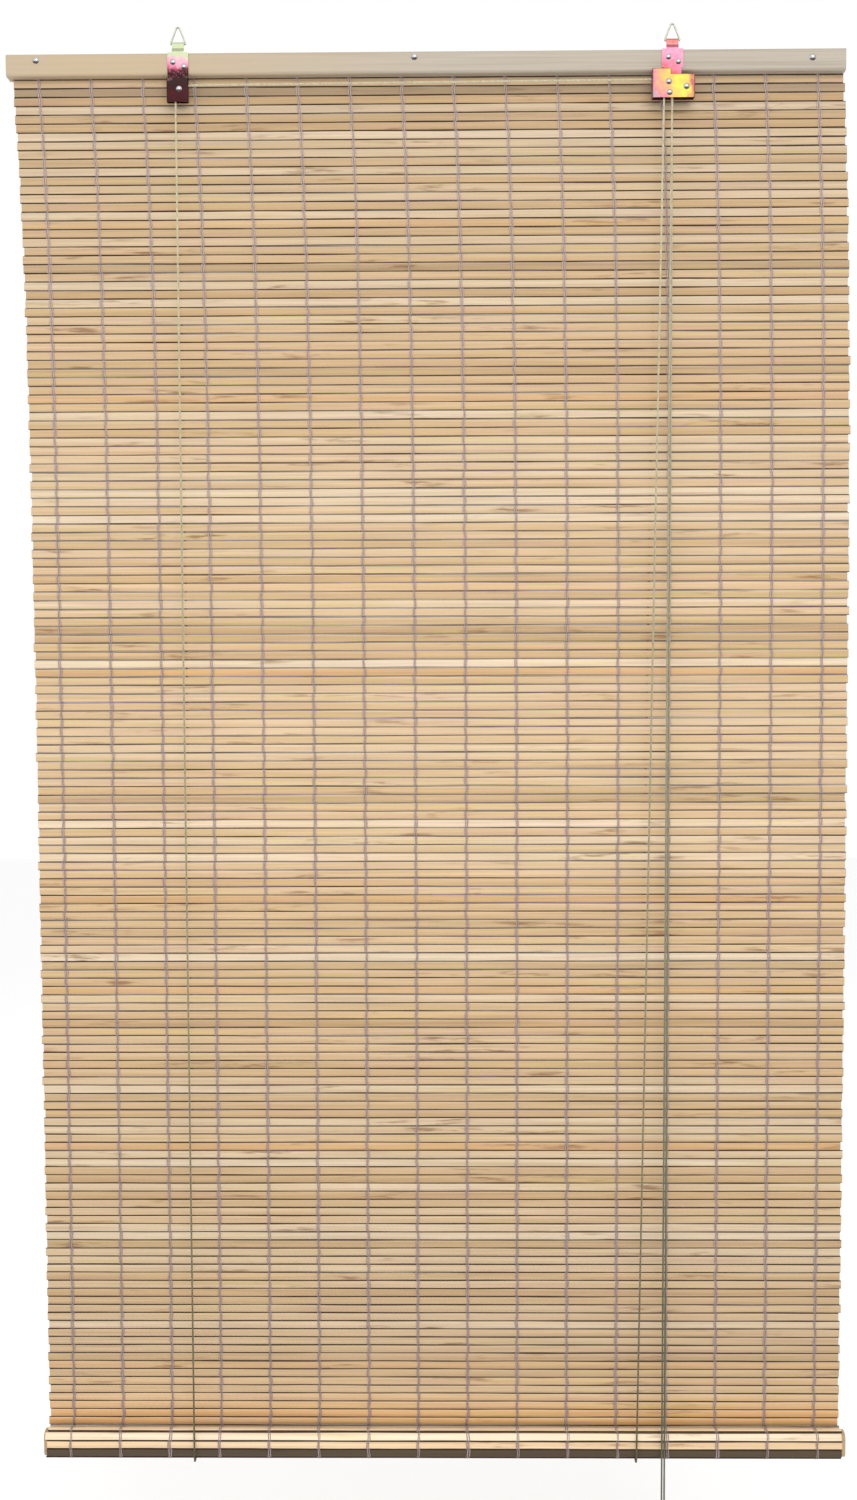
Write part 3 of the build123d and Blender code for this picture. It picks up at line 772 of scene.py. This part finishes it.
ropeLook = {
    "diameter": 2.2 * mm,
    "strands": 3,
    "strandRadius": 0.51 * mm,
    "strandOut": 0.57 * mm,
    "sides": 5,
    "step": 1.5 * mm,
    "pitch": 9.0 * mm,
}
liftLeftPoints = [
    (-0.2380, 0.01575, -0.0310),
    (-0.2380, 0.01575, -0.0470),
    (-0.2380, 0.01085, -0.0840),
    (-0.2375, 0.01085, -1.3985),
    (-0.2375, 0.01085, -1.4118),
    (-0.2366, -0.01315, -1.4118),
    (-0.2366, -0.01308, -1.3985),
    (-0.2387, -0.00612, -0.0685),
    (-0.2387, -0.00605, -0.0554),
    (-0.2256, -0.00605, -0.0553),
    (0.2226, -0.00605, -0.0530),
    (0.2358, -0.00605, -0.0529),
    (0.2358, -0.00605, -0.0725),
]
liftRightPoints = [
    (0.2240, 0.01575, -0.0310),
    (0.2240, 0.01575, -0.0470),
    (0.2230, 0.01085, -0.0840),
    (0.2081, 0.01085, -1.3985),
    (0.2080, 0.01085, -1.4118),
    (0.2070, -0.01315, -1.4118),
    (0.2072, -0.01311, -1.3985),
    (0.2280, -0.00899, -0.0661),
    (0.2282, -0.00895, -0.0529),
    (0.2358, -0.00895, -0.0529),
    (0.2358, -0.00895, -0.0725),
]
pullLeftPoints = [(0.2358, -0.00605, -0.0725), (0.2368, -0.0068, -0.1360), (0.2348, -0.0146, -1.4475)]
pullRightPoints = [(0.2358, -0.00895, -0.0725), (0.2342, -0.0086, -0.1360), (0.2322, -0.0146, -1.4475)]


def cordLine(name, points):
    # The smooth line through a cord's route, as points read from its NURBS spline.
    curve = bpy.data.curves.new(name + "Line", "CURVE")
    curve.dimensions = "3D"
    spline = curve.splines.new("NURBS")
    spline.points.add(len(points) - 1)
    for point, place in zip(spline.points, points):
        point.co = (*place, 1.0)
    spline.order_u = 3
    spline.use_endpoint_u = True
    spline.resolution_u = 40
    holder = bpy.data.objects.new(name + "Line", curve)
    scene.collection.objects.link(holder)
    depsgraph = bpy.context.evaluated_depsgraph_get()
    mesh = bpy.data.meshes.new_from_object(holder.evaluated_get(depsgraph), depsgraph=depsgraph)
    line = [vertex.co.copy() for vertex in mesh.vertices]
    bpy.data.objects.remove(holder)
    bpy.data.meshes.remove(mesh)
    return line


def evenLine(line, step):
    # The same line with points an even step apart, and their distances along it.
    distances = [0.0]
    for before, after in zip(line, line[1:]):
        distances.append(distances[-1] + (after - before).length)
    total = distances[-1]
    count = round(total / step)
    places, index = [], 0
    for number in range(count + 1):
        target = total * number / count
        while index < len(distances) - 2 and distances[index + 1] < target:
            index += 1
        span = distances[index + 1] - distances[index]
        share = (target - distances[index]) / span if span else 0.0
        places.append(line[index].lerp(line[index + 1], share))
    return places, total


def ropeRings(places, total):
    # For each strand, a ring of points at each place along the cord.
    look = ropeLook
    step = total / (len(places) - 1)
    tangent = (places[1] - places[0]).normalized()
    across = tangent.orthogonal().normalized()
    strands = [[] for _ in range(look["strands"])]
    for number, place in enumerate(places):
        after = places[min(number + 1, len(places) - 1)]
        before = places[max(number - 1, 0)]
        tangent = (after - before).normalized()
        across = (across - across.dot(tangent) * tangent).normalized()
        other = tangent.cross(across)
        for strand, rings in enumerate(strands):
            angle = math.tau * (number * step / look["pitch"] + strand / look["strands"])
            middle = place + look["strandOut"] * (math.cos(angle) * across + math.sin(angle) * other)
            rings.append([
                middle + look["strandRadius"] * (
                    math.cos(angle + math.tau * side / look["sides"]) * across
                    + math.sin(angle + math.tau * side / look["sides"]) * other)
                for side in range(look["sides"])
            ])
    return strands


def ropePiece(name, strands, first, last, material, body="headrail"):
    # A length of the laid cord as one closed mesh, from one ring to another.
    sides = ropeLook["sides"]
    points, faces = [], []
    for rings in strands:
        start = len(points)
        kept = rings[first:last + 1]
        for ring in kept:
            points.extend(ring)
        for row in range(len(kept) - 1):
            low = start + row * sides
            for side in range(sides):
                nextSide = (side + 1) % sides
                faces.append((low + side, low + nextSide, low + sides + nextSide, low + sides + side))
        faces.append(tuple(start + side for side in reversed(range(sides))))
        end = start + (len(kept) - 1) * sides
        faces.append(tuple(end + side for side in range(sides)))
    mesh = bpy.data.meshes.new(name)
    mesh.from_pydata(points, [], faces)
    mesh.polygons.foreach_set("use_smooth", [len(face) == 4 for face in faces])
    mesh.materials.append(material)
    piece = bpy.data.objects.new(name, mesh)
    scene.collection.objects.link(piece)
    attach(piece, body)
    return piece


foldRoom = {
    "hangTop": -0.0800,
    "backTop": -0.0860,
    "frontLow": -0.0870,
    "backLow": -0.1880,
    "pullLow": -0.0830,
}


def makeLiftCord(side, points):
    # A lift cord in four lengths, all on the headrail. The two long ones get their own copies of their
    # meshes.
    places, total = evenLine(cordLine("lift" + side, points), ropeLook["step"])
    strands = ropeRings(places, total)
    low = min(range(len(places)), key=lambda number: places[number].z)
    turn = [n for n in range(len(places)) if abs(places[n].z - places[low].z) < 1e-5]
    low = turn[len(turn) // 2]
    backCut = next(n for n in range(len(places)) if places[n].z < foldRoom["backTop"])
    frontCut = next(n for n in range(low, len(places)) if places[n].z > foldRoom["hangTop"])
    tail = ropePiece(f"liftCord{side}Tail", strands, 0, backCut, liftTwine)
    back = ropePiece(f"liftCord{side}Back", strands, backCut, low, liftTwine)
    front = ropePiece(f"liftCord{side}Front", strands, low, frontCut, liftTwine)
    top = ropePiece(f"liftCord{side}Top", strands, frontCut, len(places) - 1, liftTwine)
    for piece in (tail, back, front, top):
        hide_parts(f"lift_cord_{side.lower()}")
    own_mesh(back)
    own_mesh(front)


def makePullCord(side, points):
    # A pull cord, the free end of a lift cord, which hangs from the lock and is cut off bare.
    places, total = evenLine(cordLine("pull" + side, points), ropeLook["step"])
    strands = ropeRings(places, total)
    piece = ropePiece(f"pullCord{side}", strands, 0, len(places) - 1, pullTwine)
    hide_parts(f"pull_cord_{side.lower()}")
    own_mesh(piece)
    print(f"pull cord {side}: {total:.3f} m")


liftTwine = makeTwine("liftTwine", srgb(214, 206, 172), srgb(104, 92, 60), -0.2, -1.40)
pullTwine = makeTwine("pullTwine", srgb(206, 196, 166), srgb(104, 106, 80), -0.15, -1.25)
makeLiftCord("Left", liftLeftPoints)
makeLiftCord("Right", liftRightPoints)
makePullCord("Left", pullLeftPoints)
makePullCord("Right", pullRightPoints)
print("cords are ready")

finishes = {
    "rail": {
        "light": srgb(172, 162, 147),
        "dark": srgb(146, 134, 119),
        "patch": srgb(186, 160, 122),
        "patchPlace": (-0.30, 0, -0.03),
    },
    "batten": {
        "light": srgb(176, 150, 118),
        "dark": srgb(134, 108, 76),
        "patch": srgb(186, 158, 122),
        "patchPlace": (0.3, 0, -1.4),
    },
    # The steel and ring finishes paint a dark reflection on their down-facing sides.
    "steel": {"colour": srgb(206, 206, 208), "darkReflectionAndTarnish": srgb(20, 17, 19), "roughness": 0.22},
    "ring": {"colour": srgb(190, 192, 172), "darkReflectionAndTarnish": srgb(96, 96, 78), "roughness": 0.34},
    "nylon": {"colour": srgb(206, 204, 192), "speck": srgb(180, 176, 160), "roughness": 0.45},
    "brass": {"colour": srgb(184, 154, 90), "speck": srgb(132, 102, 55), "roughness": 0.36},
    "pulleyPlate": {
        "along": (5.0, 0, 46.0),
        "stops": [
            (0.12, srgb(52, 16, 22)),
            (0.30, srgb(92, 34, 46)),
            (0.40, srgb(176, 88, 112)),
            (0.56, srgb(206, 138, 160)),
            (0.80, srgb(206, 164, 172)),
            (0.9, srgb(176, 186, 150)),
        ],
        "tints": (srgb(168, 178, 140), srgb(204, 130, 158)),
    },
    "pulleyCover": {
        "along": (-3.0, 0, 26.0),
        "stops": [
            (0.0, srgb(44, 14, 16)),
            (0.4, srgb(62, 22, 26)),
            (0.62, srgb(50, 24, 24)),
            (0.8, srgb(38, 34, 32)),
            (0.99, srgb(150, 96, 96)),
        ],
        "tints": (srgb(40, 38, 30), srgb(80, 28, 32)),
    },
    "lockPlate": {
        "along": (4.0, 0, 22.0),
        "stops": [
            (0.05, srgb(118, 50, 56)),
            (0.35, srgb(168, 76, 82)),
            (0.5, srgb(182, 98, 118)),
            (0.72, srgb(188, 116, 140)),
            (0.95, srgb(172, 92, 84)),
        ],
        "tints": (srgb(170, 130, 134), srgb(190, 104, 96)),
    },
    "lockCover": {
        "along": (20.0, 0, 9.0),
        "stops": [
            (0.06, srgb(140, 110, 120)),
            (0.18, srgb(162, 96, 110)),
            (0.34, srgb(182, 122, 90)),
            (0.46, srgb(176, 140, 74)),
            (0.6, srgb(156, 164, 62)),
            (0.72, srgb(170, 148, 70)),
            (0.86, srgb(140, 76, 74)),
            (1.0, srgb(146, 86, 98)),
        ],
        "tints": (srgb(182, 120, 110), srgb(150, 152, 66)),
    },
}


def middleOf(node):
    low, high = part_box(node)
    return (low + high) / 2


def paint(material, *nodes):
    # Gives CAD nodes a finish on the material slots they have.
    for node in nodes:
        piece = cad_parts[node]
        if not piece.material_slots:
            piece.data.materials.append(material)
        for slot in piece.material_slots:
            slot.material = material


def zincFor(node, key, centre=None):
    look = finishes[key]
    place = middleOf(node) if centre is None else centre
    paint(makeZinc(key, place, look["along"], look["stops"], look["tints"]), node)


rail, batten, steel = finishes["rail"], finishes["batten"], finishes["steel"]
ringLook, nylon, brass = finishes["ring"], finishes["nylon"], finishes["brass"]
woodKeys = ("light", "dark", "patch", "patchPlace")
railWood = makeWood("railWood", *[rail[key] for key in woodKeys], 0.5)
battenWood = makeWood("battenWood", *[batten[key] for key in woodKeys], 0.6)
paint(railWood, "front_batten", "rear_batten")
paint(battenWood, "bottom_batten")
paint(makeSteel("brightSteel", steel["colour"], steel["darkReflectionAndTarnish"], steel["roughness"]),
      "rail_nails", "hanger_tacks", "housing_rivets", "cord_staples")
paint(makeSteel("ringWire", ringLook["colour"], ringLook["darkReflectionAndTarnish"], ringLook["roughness"], 0.8),
      "hanging_ring_left", "hanging_ring_right")
wheelNylon = makePlain("wheelNylon", nylon["colour"], nylon["speck"], nylon["roughness"])
paint(wheelNylon, "pulley_wheel", "lock_wheel")
paint(makePlain("camBrass", brass["colour"], brass["speck"], brass["roughness"], 1.0), "lock_cam")
paint(liftTwine, "cord_knots")
plateMiddle = middleOf("pulley_plate")
zincFor("pulley_plate", "pulleyPlate", (plateMiddle.x, 0, -0.0355))
zincFor("lock_plate", "lockPlate", (middleOf("lock_plate").x, 0, -0.0370))
zincFor("pulley_cover", "pulleyCover")
zincFor("lock_cover", "lockCover")
print("hardware is finished")
